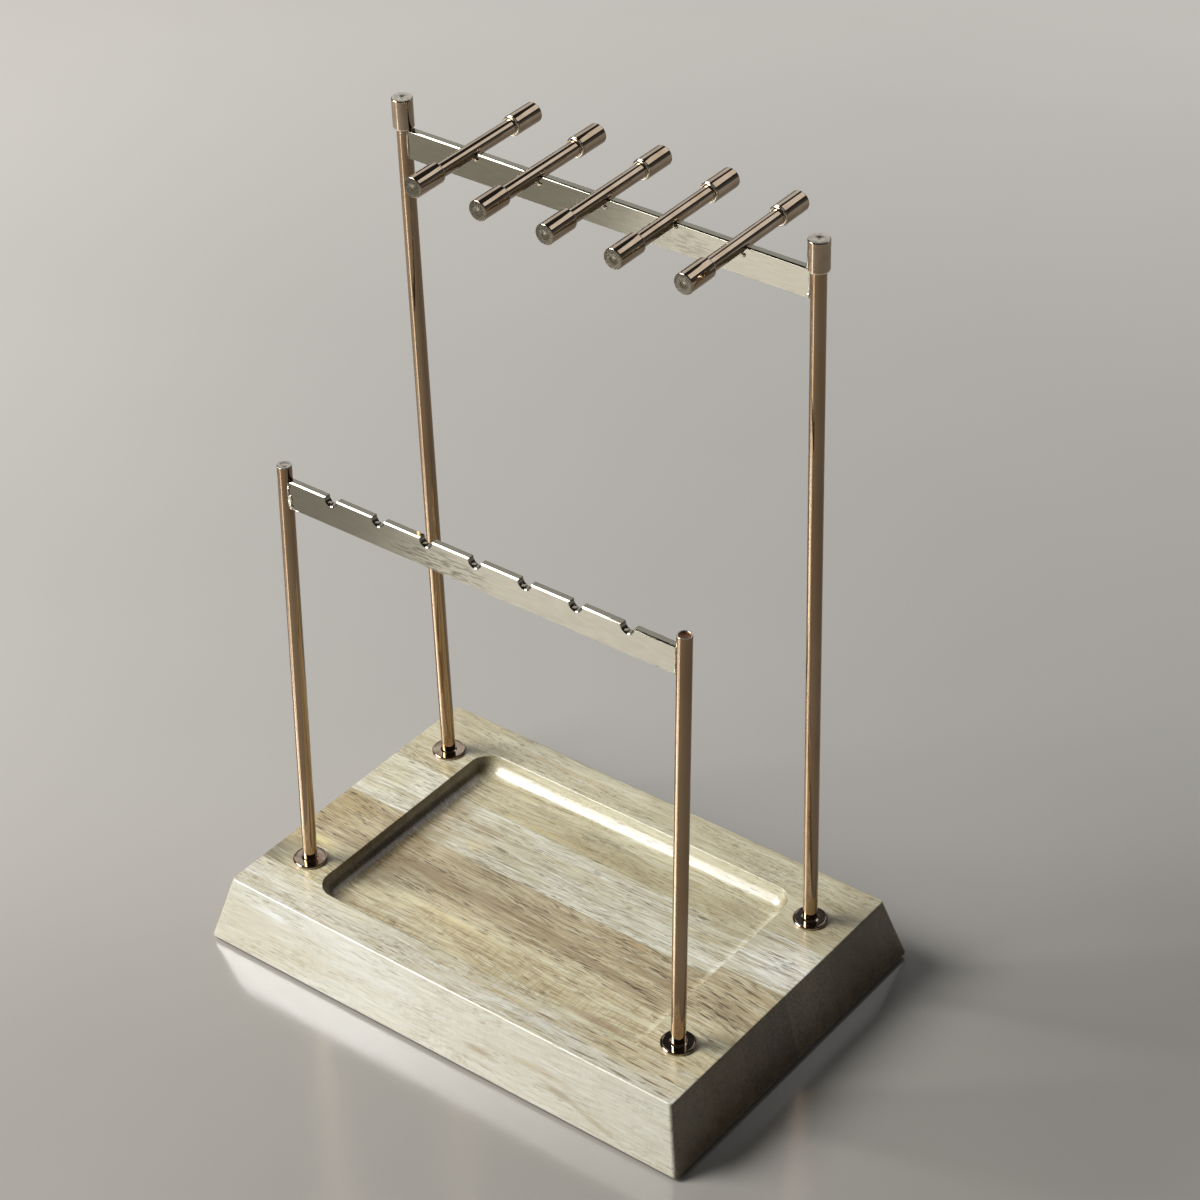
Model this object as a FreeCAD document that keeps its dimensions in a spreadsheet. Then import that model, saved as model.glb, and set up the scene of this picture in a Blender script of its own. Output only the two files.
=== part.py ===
import FreeCAD, Part
import os
import Sketcher

# A free-standing jewellery stand: a sloping-sided board with a shallow tray, a low pair of posts
# that carries a notched bar for necklaces, and a tall pair that carries a bar of cross rods.
# Millimetres, +Z up. The origin is the middle of the footprint on the table, +X is to the right
# and +Y runs from the low frame at the front to the tall frame at the rear.

doc = FreeCAD.newDocument("jewellery_stand")

# ---------------------------------------------------------------- driving dimensions

drivingSizes = [
    # board, measured at its foot
    ("base_width", 200),
    ("base_depth", 135),
    ("base_thickness", 24.5),
    ("side_slope", 6.4),            # each side leans in by this much from foot to top
    ("corner_radius", 1.6),
    ("arris_radius", 0.7),          # top and bottom edges
    # glued staves; the middle one takes the rest of the depth
    ("front_stave_width", 21.8),
    ("mid_front_stave_width", 22),
    ("mid_rear_stave_width", 24.5),
    ("rear_stave_width", 41.5),
    # tray routed into the top, inside rims of these widths
    ("rim_side", 25.6),
    ("rim_front", 13.3),
    ("rim_rear", 14.9),
    ("tray_depth", 6.5),
    ("tray_corner_radius", 8),
    ("tray_cove_radius", 6),
    ("tray_edge_radius", 0.5),
    # posts
    ("post_diameter", 5),
    ("post_from_tray", 10.7),       # post axis to the side of the tray
    ("front_post_setback", 30.5),   # post axis to the front foot edge of the board
    ("rear_post_setback", 29),      # post axis to the rear foot edge of the board
    ("front_post_height", 160),     # above the board
    ("post_chamfer", 0.4),
    ("post_socket_depth", 4),       # blind socket in the board
    ("frame_lean", 1.27),           # degrees; both frames lean towards each other
    ("flange_rim", 3.5),
    ("flange_thickness", 1),
    ("flange_chamfer", 0.25),
    # flat bars
    ("bar_height", 10),
    ("bar_thickness", 2.5),
    ("bar_edge_radius", 0.3),
    ("notched_bar_drop", 4.7),      # front post top to the top edge of the notched bar
    ("rod_bar_top", 252),           # top edge of the rod bar above the board
    ("notch_radius", 2.4),
    ("notch_depth", 2.6),
    ("notch_from_post", 20.2),      # outer notch to the post axis
    # cross rods
    ("rod_diameter", 5),
    ("rod_from_post", 27.7),        # outer rod to the post axis
    ("rod_front_reach", 29),        # bar centre to the front end of the rod caps
    ("rod_rear_reach", 31),
    # turned caps on the rods and on the rear posts
    ("cap_wall", 1),
    ("cap_end", 2),
    ("cap_chamfer", 0.35),
    ("rod_cap_length", 12),
    ("post_cap_length", 10.5),
    # cap screws under the board
    ("screw_diameter", 3),
    ("screw_engagement", 8),
    ("screw_tip_clearance", 1),
    ("screw_hole_clearance", 0.4),
    ("screw_head_diameter", 5.5),
    ("screw_head_height", 3),
    ("hex_key_size", 2.5),
    ("hex_key_depth", 1.5),
    ("counterbore_depth", 10),
    ("counterbore_clearance", 1.5),
    # non-slip pads
    ("pad_diameter", 10),
    ("pad_thickness", 1),
    ("pad_from_edge", 13),          # pad centre to the foot edges of the board
]
rodCount = 5
notchCount = 7

sheet = doc.addObject("Spreadsheet::Sheet", "Sizes")
for row, (alias, value) in enumerate(drivingSizes, start=1):
    sheet.set(f"A{row}", alias)
    sheet.set(f"B{row}", str(value))
    sheet.setAlias(f"B{row}", alias)
doc.recompute()


def size(expression):
    """Value of an expression written with the sheet's aliases."""
    return float(sheet.evalExpression(expression.replace("Sizes.", "")))


# ---------------------------------------------------------------- shared places, as expressions

halfWidth = "Sizes.base_width / 2"
halfDepth = "Sizes.base_depth / 2"
boardTop = "(Sizes.pad_thickness + Sizes.base_thickness)"
topHalfWidth = f"({halfWidth} - Sizes.side_slope)"
topHalfDepth = f"({halfDepth} - Sizes.side_slope)"
trayHalfWidth = f"({topHalfWidth} - Sizes.rim_side)"
trayFront = f"(Sizes.rim_front - {topHalfDepth})"
trayRear = f"({topHalfDepth} - Sizes.rim_rear)"
postX = f"({trayHalfWidth} + Sizes.post_from_tray)"
postRadius = "Sizes.post_diameter / 2"
rodRadius = "Sizes.rod_diameter / 2"
screwRadius = "Sizes.screw_diameter / 2"
notchedBarTop = "(Sizes.front_post_height - Sizes.notched_bar_drop)"
rearPostTop = "(Sizes.rod_bar_top + Sizes.post_cap_length - Sizes.cap_end)"
screwSeat = "(Sizes.counterbore_depth - Sizes.base_thickness)"
outerNotch = f"({postX} - Sizes.notch_from_post)"
outerRod = f"({postX} - Sizes.rod_from_post)"

# each frame stands at its own depth and turns about X at the board's top
frames = {
    "front": {"depth": f"(Sizes.front_post_setback - {halfDepth})", "tilt": "(-Sizes.frame_lean)"},
    "rear": {"depth": f"({halfDepth} - Sizes.rear_post_setback)", "tilt": "Sizes.frame_lean"},
}
sides = {"left": -1, "right": 1}


# ---------------------------------------------------------------- helpers

def place(thing, x, y, z, turn="0"):
    """Bind a placement: a position and a turn about X in degrees."""
    thing.setExpression("Placement", f"placement(vector({x}; {y}; {z}); rotation(vector(1; 0; 0); {turn}))")


def placeInFrame(thing, frameName, x="0", y="0", z="0", turn="0"):
    """Bind a placement given in a leaning frame: x across, y out of the frame, z up its posts."""
    tilt = frames[frameName]["tilt"]
    depth = frames[frameName]["depth"]
    place(thing, x,
          f"{depth} + ({y}) * cos({tilt}) - ({z}) * sin({tilt})",
          f"{boardTop} + ({y}) * sin({tilt}) + ({z}) * cos({tilt})",
          f"{tilt} + ({turn})")


def originPlane(body, role):
    return [item for item in body.Origin.OriginFeatures if item.Role == role][0]


def newSketch(body, name, role):
    sketch = body.newObject("Sketcher::SketchObject", name)
    sketch.AttachmentSupport = [(originPlane(body, role), "")]
    sketch.MapMode = "FlatFace"
    return sketch


def holdPoint(sketch, geometry, point, across, up):
    """Dimension one sketch point from the sketch's origin."""
    for kind, axis, expression in (("DistanceX", -2, across), ("DistanceY", -1, up)):
        if expression == "0":
            sketch.addConstraint(Sketcher.Constraint("PointOnObject", geometry, point, axis))
        else:
            value = size(expression)
            index = sketch.addConstraint(Sketcher.Constraint(kind, -1, 1, geometry, point, value))
            sketch.setExpression(f"Constraints[{index}]", expression)


def polygon(sketch, corners):
    """Closed outline through corners, each given as two expressions."""
    points = [FreeCAD.Vector(size(across), size(up), 0) for across, up in corners]
    for index, point in enumerate(points):
        sketch.addGeometry(Part.LineSegment(point, points[(index + 1) % len(points)]))
    for index in range(len(points)):
        following = (index + 1) % len(points)
        sketch.addConstraint(Sketcher.Constraint("Coincident", index, 2, following, 1))
    for index, (across, up) in enumerate(corners):
        holdPoint(sketch, index, 1, across, up)


def circle(sketch, across, up, radius):
    centre = FreeCAD.Vector(size(across), size(up), 0)
    index = sketch.addGeometry(Part.Circle(centre, FreeCAD.Vector(0, 0, 1), size(radius)))
    holdPoint(sketch, index, 3, across, up)
    dimension = sketch.addConstraint(Sketcher.Constraint("Radius", index, size(radius)))
    sketch.setExpression(f"Constraints[{dimension}]", radius)


def rectangle(sketch, left, right, low, high):
    polygon(sketch, [(left, low), (right, low), (right, high), (left, high)])


def pad(body, sketch, length):
    """Pad a sketch by the same amount on both sides of its plane."""
    feature = body.newObject("PartDesign::Pad", f"{sketch.Name}_pad")
    feature.Profile = sketch
    feature.SideType = "Symmetric"
    feature.setExpression("Length", length)
    return feature


def pocketThrough(body, sketch):
    feature = body.newObject("PartDesign::Pocket", f"{sketch.Name}_pocket")
    feature.Profile = sketch
    feature.Type = "ThroughAll"
    feature.SideType = "Symmetric"
    return feature


def spread(body, feature, sketch, extent, count):
    """Repeat a feature to the right along the sketch's horizontal axis."""
    pattern = body.newObject("PartDesign::LinearPattern", f"{feature.Name}_row")
    pattern.Originals = [feature]
    pattern.Direction = (sketch, ["H_Axis"])
    pattern.setExpression("Length", extent)
    pattern.Occurrences = count
    body.Tip = pattern
    return pattern


def roundEdges(body, base, name, rule, radius):
    """Fillet the edges of the base feature that the rule picks."""
    picked = [f"Edge{number}" for number, edge in enumerate(base.Shape.Edges, start=1) if rule(edge)]
    fillet = body.newObject("PartDesign::Fillet", name)
    fillet.Base = (base, picked)
    fillet.setExpression("Radius", radius)
    doc.recompute()
    return fillet


def newBody(name):
    body = doc.addObject("PartDesign::Body", name)
    body.Label = name
    return body


def turned(name, corners):
    """A lathe-turned body about Z, from its half outline of (radius, height) corners."""
    body = newBody(name)
    sketch = newSketch(body, f"{name}_outline", "XZ_Plane")
    polygon(sketch, corners)
    revolution = body.newObject("PartDesign::Revolution", f"{name}_turning")
    revolution.Profile = sketch
    revolution.ReferenceAxis = (sketch, ["V_Axis"])
    revolution.Angle = 360
    return body


def cylinder(name, radius, height):
    solid = doc.addObject("Part::Cylinder", name)
    solid.setExpression("Radius", radius)
    solid.setExpression("Height", height)
    return solid


def cut(name, base, tool):
    result = doc.addObject("Part::Cut", name)
    result.Base = base
    result.Tool = tool
    return result


def fuse(name, pieces):
    result = doc.addObject("Part::MultiFuse", name)
    result.Shapes = pieces
    return result


pieces = []


def keep(thing, label):
    thing.Label = label
    pieces.append(thing)


# ---------------------------------------------------------------- board

def boardBlank():
    """The whole board in one block, resting on the XY plane, with its tray but without holes."""
    body = newBody("board_blank")
    footprint = newSketch(body, "board_foot", "XY_Plane")
    rectangle(footprint, f"-({halfWidth})", halfWidth, f"-({halfDepth})", halfDepth)
    block = body.newObject("PartDesign::Pad", "board_block")
    block.Profile = footprint
    block.setExpression("Length", "Sizes.base_thickness")
    block.setExpression("TaperAngle", "-atan(Sizes.side_slope / Sizes.base_thickness)")
    doc.recompute()

    def isCorner(edge):
        return abs(edge.Vertexes[0].Z - edge.Vertexes[-1].Z) > size("Sizes.base_thickness") / 2

    rounded = roundEdges(body, block, "board_corners", isCorner, "Sizes.corner_radius")

    def isArris(edge):
        return abs(edge.Vertexes[0].Z - edge.Vertexes[-1].Z) < 0.001

    eased = roundEdges(body, rounded, "board_arrises", isArris,
                       "min(Sizes.arris_radius; Sizes.corner_radius * 0.9)")

    trayPlan = newSketch(body, "tray_plan", "XY_Plane")
    trayPlan.setExpression("AttachmentOffset", "placement(vector(0; 0; Sizes.base_thickness); rotation(0; 0; 0))")
    rectangle(trayPlan, f"-{trayHalfWidth}", trayHalfWidth, trayFront, trayRear)
    tray = body.newObject("PartDesign::Pocket", "tray_pocket")
    tray.Profile = trayPlan
    tray.Type = "Length"
    tray.setExpression("Length", "Sizes.tray_depth")
    doc.recompute()

    trayFloor = size("Sizes.base_thickness - Sizes.tray_depth")

    def insideTray(edge):
        centre = edge.BoundBox.Center
        limit = size(trayHalfWidth) + 0.01
        return abs(centre.x) < limit and size(trayFront) - 0.01 < centre.y < size(trayRear) + 0.01

    def isTrayCorner(edge):
        return insideTray(edge) and edge.BoundBox.ZLength > size("Sizes.tray_depth") * 0.9 \
            and edge.BoundBox.ZMin > trayFloor - 0.01

    cornered = roundEdges(body, tray, "tray_corners", isTrayCorner, "Sizes.tray_corner_radius")

    def isTrayFloor(edge):
        return insideTray(edge) and abs(edge.BoundBox.ZMin - trayFloor) < 0.001 and edge.BoundBox.ZLength < 0.001

    coved = roundEdges(body, cornered, "tray_cove", isTrayFloor,
                       "min(Sizes.tray_cove_radius; Sizes.tray_depth * 0.92; Sizes.tray_corner_radius * 0.9)")

    def isTrayMouth(edge):
        return insideTray(edge) and edge.BoundBox.ZMin > size("Sizes.base_thickness") - 0.001

    roundEdges(body, coved, "tray_mouth", isTrayMouth,
               "min(Sizes.tray_edge_radius; Sizes.tray_depth * 0.06)")
    place(body, "0", "0", "Sizes.pad_thickness")
    return body


def boardHoles():
    """Post sockets and counterbored screw holes, square to the leaning posts."""
    holes = []
    overrun = "5"
    for frameName in frames:
        for sideName, sign in sides.items():
            tag = f"{frameName}_{sideName}"
            socket = cylinder(f"socket_{tag}", postRadius, f"Sizes.post_socket_depth + {overrun}")
            placeInFrame(socket, frameName, f"{sign} * {postX}", z="-Sizes.post_socket_depth")
            shaft = cylinder(f"screw_hole_{tag}", "(Sizes.screw_diameter + Sizes.screw_hole_clearance) / 2",
                             "Sizes.base_thickness - Sizes.post_socket_depth")
            placeInFrame(shaft, frameName, f"{sign} * {postX}", z="-Sizes.base_thickness")
            bore = cylinder(f"counterbore_{tag}",
                            "(Sizes.screw_head_diameter + Sizes.counterbore_clearance) / 2",
                            f"Sizes.counterbore_depth + {overrun}")
            placeInFrame(bore, frameName, f"{sign} * {postX}", z=f"{screwSeat} - Sizes.counterbore_depth - {overrun}")
            holes += [socket, shaft, bore]
    return fuse("board_holes", holes)


def staves():
    """The board sawn along its glue lines."""
    board = cut("board_drilled", boardBlank(), boardHoles())
    glueLines = [
        f"-({halfDepth})",
        f"Sizes.front_stave_width - {halfDepth}",
        f"Sizes.front_stave_width + Sizes.mid_front_stave_width - {halfDepth}",
        f"{halfDepth} - Sizes.rear_stave_width - Sizes.mid_rear_stave_width",
        f"{halfDepth} - Sizes.rear_stave_width",
        halfDepth,
    ]
    names = ["stave_front", "stave_mid_front", "stave_middle", "stave_mid_rear", "stave_rear"]
    for name, low, high in zip(names, glueLines[:-1], glueLines[1:]):
        slab = doc.addObject("Part::Box", f"{name}_slab")
        slab.setExpression("Length", "Sizes.base_width")
        slab.setExpression("Width", f"({high}) - ({low})")
        slab.setExpression("Height", "Sizes.base_thickness")
        place(slab, f"-({halfWidth})", low, "Sizes.pad_thickness")
        stave = doc.addObject("Part::Common", name)
        stave.Base = board
        stave.Tool = slab
        keep(stave, name)


def footPads():
    for endName, endSign in (("front", -1), ("rear", 1)):
        for sideName, sideSign in sides.items():
            name = f"foot_pad_{endName}_{sideName}"
            footPad = cylinder(name, "Sizes.pad_diameter / 2", "Sizes.pad_thickness")
            place(footPad, f"{sideSign} * ({halfWidth} - Sizes.pad_from_edge)",
                  f"{endSign} * ({halfDepth} - Sizes.pad_from_edge)", "0")
            keep(footPad, name)


# ---------------------------------------------------------------- posts, flanges and screws

def post(frameName, sideName, height):
    name = f"post_{frameName}_{sideName}"
    foot = "-Sizes.post_socket_depth"
    threadEnd = f"{foot} + Sizes.screw_engagement + Sizes.screw_tip_clearance"
    body = turned(name, [
        (screwRadius, foot),
        (postRadius, foot),
        (postRadius, f"{height} - Sizes.post_chamfer"),
        (f"{postRadius} - Sizes.post_chamfer", height),
        ("0", height),
        ("0", threadEnd),
        (screwRadius, threadEnd),
    ])
    placeInFrame(body, frameName, f"{sides[sideName]} * {postX}")
    keep(body, name)


def flange(frameName, sideName):
    """Flat washer on the board; only its bore follows the lean of the post."""
    name = f"flange_{frameName}_{sideName}"
    radius = f"{postRadius} + Sizes.flange_rim"
    disc = turned(f"{name}_disc", [
        ("0", "0"),
        (radius, "0"),
        (radius, "Sizes.flange_thickness - Sizes.flange_chamfer"),
        (f"{radius} - Sizes.flange_chamfer", "Sizes.flange_thickness"),
        ("0", "Sizes.flange_thickness"),
    ])
    x = f"{sides[sideName]} * {postX}"
    place(disc, x, frames[frameName]["depth"], boardTop)
    bore = cylinder(f"{name}_bore", postRadius, "Sizes.flange_thickness * 4")
    placeInFrame(bore, frameName, x, z="-Sizes.flange_thickness")
    keep(cut(name, disc, bore), name)


def screw(frameName, sideName):
    name = f"screw_{frameName}_{sideName}"
    headRadius = "Sizes.screw_head_diameter / 2"
    headFace = f"{screwSeat} - Sizes.screw_head_height"
    tip = "Sizes.screw_engagement - Sizes.post_socket_depth"
    blank = turned(f"{name}_blank", [
        ("0", headFace),
        (headRadius, headFace),
        (headRadius, screwSeat),
        (screwRadius, screwSeat),
        (screwRadius, tip),
        ("0", tip),
    ])
    x = f"{sides[sideName]} * {postX}"
    placeInFrame(blank, frameName, x)
    key = doc.addObject("Part::Prism", f"{name}_key")
    key.Polygon = 6
    key.setExpression("Circumradius", "Sizes.hex_key_size / 2 / cos(30)")
    key.setExpression("Height", "Sizes.hex_key_depth * 2")
    placeInFrame(key, frameName, x, z=f"{headFace} - Sizes.hex_key_depth")
    keep(cut(name, blank, key), name)


# ---------------------------------------------------------------- bars

def flatBar(name, frameName, top):
    """A flat bar on edge between the posts of one frame, drawn in that frame."""
    body = newBody(name)
    face = newSketch(body, f"{name}_face", "XZ_Plane")
    rectangle(face, f"-{postX}", postX, f"{top} - Sizes.bar_height", top)
    blank = pad(body, face, "Sizes.bar_thickness")
    doc.recompute()

    def isLong(edge):
        return edge.BoundBox.XLength > size(postX)

    roundEdges(body, blank, f"{name}_edges", isLong, "min(Sizes.bar_edge_radius; Sizes.bar_thickness * 0.4)")
    placeInFrame(body, frameName)
    return body


def notchRow(body, name, across, up, radius, count):
    """Round notches in the top edge, from the left one at -across to the right one."""
    sketch = newSketch(body, f"{name}_notch", "XZ_Plane")
    circle(sketch, f"-{across}", up, radius)
    notch = pocketThrough(body, sketch)
    doc.recompute()
    spread(body, notch, sketch, f"2 * {across}", count)
    doc.recompute()


def copeEnds(body, name):
    """Hollow both ends to fit round the posts."""
    sketch = newSketch(body, f"{name}_copes", "XY_Plane")
    circle(sketch, f"-{postX}", "0", postRadius)
    circle(sketch, postX, "0", postRadius)
    copes = pocketThrough(body, sketch)
    body.Tip = copes


def notchedBar():
    name = "notched_bar"
    body = flatBar(name, "front", notchedBarTop)
    notchRow(body, name, outerNotch, f"{notchedBarTop} - Sizes.notch_depth + Sizes.notch_radius",
             "Sizes.notch_radius", notchCount)
    copeEnds(body, name)
    keep(body, name)


def rodBar():
    name = "rod_bar"
    body = flatBar(name, "rear", "Sizes.rod_bar_top")
    notchRow(body, name, outerRod, "Sizes.rod_bar_top", rodRadius, rodCount)
    copeEnds(body, name)
    keep(body, name)


# ---------------------------------------------------------------- rods and caps

def cap(name, boreRadius, length):
    """A turned cap about Z, its blind bore open at the bottom."""
    radius = f"{boreRadius} + Sizes.cap_wall"
    boreDepth = f"{length} - Sizes.cap_end"
    return turned(name, [
        (boreRadius, "0"),
        (f"{radius} - Sizes.cap_chamfer", "0"),
        (radius, "Sizes.cap_chamfer"),
        (radius, f"{length} - Sizes.cap_chamfer"),
        (f"{radius} - Sizes.cap_chamfer", length),
        ("0", length),
        ("0", boreDepth),
        (boreRadius, boreDepth),
    ])


def crossRods():
    """Rods through the seats of the rod bar, each with a cap at both ends."""
    reach = {"front": "Sizes.rod_front_reach", "rear": "Sizes.rod_rear_reach"}
    towards = {"front": -1, "rear": 1}
    for index in range(rodCount):
        number = index + 1
        x = f"{outerRod} * ({2 * index / (rodCount - 1) - 1})"
        rod = cylinder(f"cross_rod_{number}", rodRadius,
                       f"{reach['front']} + {reach['rear']} - 2 * Sizes.cap_end")
        placeInFrame(rod, "rear", x, f"Sizes.cap_end - {reach['front']}", "Sizes.rod_bar_top", "-90")
        keep(rod, f"cross_rod_{number}")
        for endName, sign in towards.items():
            name = f"rod_{endName}_cap_{number}"
            rodCap = cap(name, rodRadius, "Sizes.rod_cap_length")
            placeInFrame(rodCap, "rear", x, f"{sign} * ({reach[endName]} - Sizes.rod_cap_length)",
                         "Sizes.rod_bar_top", f"{-90 * sign}")
            keep(rodCap, name)


def postCaps():
    for sideName, sign in sides.items():
        name = f"post_cap_{sideName}"
        postCap = cap(name, postRadius, "Sizes.post_cap_length")
        placeInFrame(postCap, "rear", f"{sign} * {postX}", z="Sizes.rod_bar_top")
        keep(postCap, name)


# ---------------------------------------------------------------- the stand

staves()
footPads()
for frameName, postHeight in (("front", "Sizes.front_post_height"), ("rear", rearPostTop)):
    for sideName in sides:
        post(frameName, sideName, postHeight)
        flange(frameName, sideName)
        screw(frameName, sideName)
notchedBar()
rodBar()
crossRods()
postCaps()
doc.recompute()

for thing in doc.Objects:
    if "Invalid" in thing.State or "Error" in thing.State:
        raise RuntimeError(f"{thing.Label} could not be built: {thing.State}")
for piece in pieces:
    if piece.Shape.isNull() or not piece.Shape.isValid() or len(piece.Shape.Solids) != 1:
        raise RuntimeError(f"{piece.Label} is not one valid solid")

os.makedirs("parts", exist_ok=True)
for piece in pieces:
    piece.Shape.exportStep(f"parts/{piece.Label}.step")
print(f"{len(pieces)} pieces written")
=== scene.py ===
import math

import bpy
from mathutils import Matrix, Vector


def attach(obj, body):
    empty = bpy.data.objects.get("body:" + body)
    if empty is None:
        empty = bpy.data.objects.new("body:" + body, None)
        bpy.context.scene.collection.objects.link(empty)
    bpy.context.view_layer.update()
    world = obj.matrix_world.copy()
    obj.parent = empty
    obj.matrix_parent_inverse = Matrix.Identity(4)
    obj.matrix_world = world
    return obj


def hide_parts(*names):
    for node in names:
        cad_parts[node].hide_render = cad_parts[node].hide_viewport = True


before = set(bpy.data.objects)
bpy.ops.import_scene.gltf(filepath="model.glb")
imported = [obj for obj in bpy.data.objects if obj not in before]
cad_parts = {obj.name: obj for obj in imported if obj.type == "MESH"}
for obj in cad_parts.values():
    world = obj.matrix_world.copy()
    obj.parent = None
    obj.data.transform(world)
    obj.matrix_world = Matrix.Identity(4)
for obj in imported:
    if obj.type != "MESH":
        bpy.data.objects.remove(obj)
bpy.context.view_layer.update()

bpy.ops.object.select_all(action="DESELECT")

# Jewellery stand: a five-stave lacquered board with a shallow tray, a low frame with a notched
# bar and a tall frame with five capped rods. Dimensions in the dictionaries are millimetres.

mm = 0.001
perMetre = 1000.0        # a pattern's pitch in mm divides this
board = {"top": 25.5, "postX": 78.7}
frames = {
    "front": {"depth": -37.0, "lean": -1.27},     # degrees about X, towards the other frame
    "rear": {"depth": 38.5, "lean": 1.27},
}
sides = {"left": -1, "right": 1}


def linear(hexColour):
    channels = [int(hexColour[i:i + 2], 16) / 255 for i in (1, 3, 5)]
    return [c / 12.92 if c <= 0.04045 else ((c + 0.055) / 1.055) ** 2.4 for c in channels] + [1.0]


def addNode(tree, kind, inputs=None, **settings):
    node = tree.nodes.new("ShaderNode" + kind)
    for setting, value in settings.items():
        setattr(node, setting, value)
    for socket, value in (inputs or {}).items():
        if isinstance(value, bpy.types.NodeSocket):
            tree.links.new(value, node.inputs[socket])
        else:
            node.inputs[socket].default_value = value
    return node


def newMaterial(name):
    material = bpy.data.materials.new(name)
    material.use_nodes = True
    material.node_tree.nodes.clear()
    return material, material.node_tree


def shifted(x, y, z):
    return Matrix.Translation(Vector((x, y, z)) * mm)


def frameMatrix(frameName, x=0.0, y=0.0, z=0.0, turn=0.0):
    # a place in a leaning frame: x across, y out of the frame, z up its posts, then a turn about X
    foot = shifted(0, frames[frameName]["depth"], board["top"])
    lean = Matrix.Rotation(math.radians(frames[frameName]["lean"]), 4, "X")
    return foot @ lean @ shifted(x, y, z) @ Matrix.Rotation(math.radians(turn), 4, "X")


def pick(piece):
    bpy.ops.object.select_all(action="DESELECT")
    piece.select_set(True)
    bpy.context.view_layer.objects.active = piece


def settle(piece, matrix):
    # the place goes into the mesh, and the object stays at the origin
    piece.matrix_world = matrix @ piece.matrix_world
    pick(piece)
    bpy.ops.object.transform_apply(location=True, rotation=True, scale=True)


def copyOf(piece, name):
    twin = piece.copy()
    twin.data = piece.data.copy()
    twin.name = twin.data.name = name
    bpy.context.scene.collection.objects.link(twin)
    return twin


def applyModifier(piece, kind, **settings):
    pick(piece)
    modifier = piece.modifiers.new(kind.lower(), kind)
    for setting, value in settings.items():
        setattr(modifier, setting, value)
    bpy.ops.object.modifier_apply(modifier=modifier.name)


def smooth(piece, angle=50):
    pick(piece)
    bpy.ops.object.shade_smooth_by_angle(angle=math.radians(angle))
    applyModifier(piece, "WEIGHTED_NORMAL", mode="FACE_AREA", weight=80, keep_sharp=True)


def turned(name, outline, around=64):
    # a lathe-turned solid about Z: a disc pulled up and drawn in or out, by (radius, height) steps
    radius, height = outline[0]
    bpy.ops.mesh.primitive_circle_add(vertices=around, radius=radius * mm, fill_type="NGON",
                                      location=(0, 0, height * mm))
    piece = bpy.context.object
    piece.name = piece.data.name = name
    bpy.ops.object.transform_apply(location=True)
    bpy.ops.object.mode_set(mode="EDIT")
    bpy.ops.mesh.select_mode(type="FACE")
    bpy.ops.mesh.select_all(action="SELECT")
    for nextRadius, nextHeight in outline[1:]:
        bpy.ops.mesh.extrude_region_move(
            TRANSFORM_OT_translate={"value": (0, 0, (nextHeight - height) * mm)})
        grow = nextRadius / radius
        bpy.ops.transform.resize(value=(grow, grow, 1), center_override=(0, 0, nextHeight * mm))
        radius, height = nextRadius, nextHeight
    bpy.ops.mesh.select_all(action="SELECT")
    bpy.ops.mesh.normals_make_consistent(inside=False)
    bpy.ops.object.mode_set(mode="OBJECT")
    return piece


def dress(piece, *materials):
    piece.data.materials.clear()
    for material in materials:
        piece.data.materials.append(material)


def dressNode(nodeName, material):
    # a piece of the frame keeps its shape and gets a better material
    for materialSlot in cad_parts[nodeName].material_slots:
        materialSlot.material = material


def faceEnds(piece, reach, index, tilt, inside=10.0):
    # faces that look along Z, past a height and within a radius, take another of its materials
    for polygon in piece.data.polygons:
        out = polygon.center.xy.length
        if abs(polygon.normal.z) > tilt and polygon.center.z > reach * mm and out < inside * mm:
            polygon.material_index = index


def standFor(piece, *nodes, slot="plated_metal"):
    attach(piece, "root")
    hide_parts(*nodes)


# Mango wood, planed and sprayed with satin lacquer: staves glued side by side in nearly one tone,
# with soft brown bands, long fine streaks, short dark pores along the grain and a clear gloss.
woodLook = {
    "sway": (3.4, 2.0), "swayPitch": (62, 26, 26),    # mm the grain wanders, across and through
    "rise": (0.02, 0.015),       # radians that the grain runs out of the board
    "coat": 1.0, "coatRoughness": 0.25, "coatIor": 1.64,
    "ior": 1.5, "roughness": (0.38, 0.52), "roughPores": (0.4, 0.7),
    "relief": 0.00005, "fibreRelief": 0.35, "bump": 0.5,      # metres, then shares of it
    "endGrain": "#97876C", "endTilt": (0.3, 0.85),
    "calm": 0.5, "faceTilt": (0.6, 0.9),     # less figure on the long faces, cut across the rays
    "broadMark": 1.8,            # marks wider than this lie under the streaks, the rest on top
    "fray": 1.5, "markEdge": 1.95,
}

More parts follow.
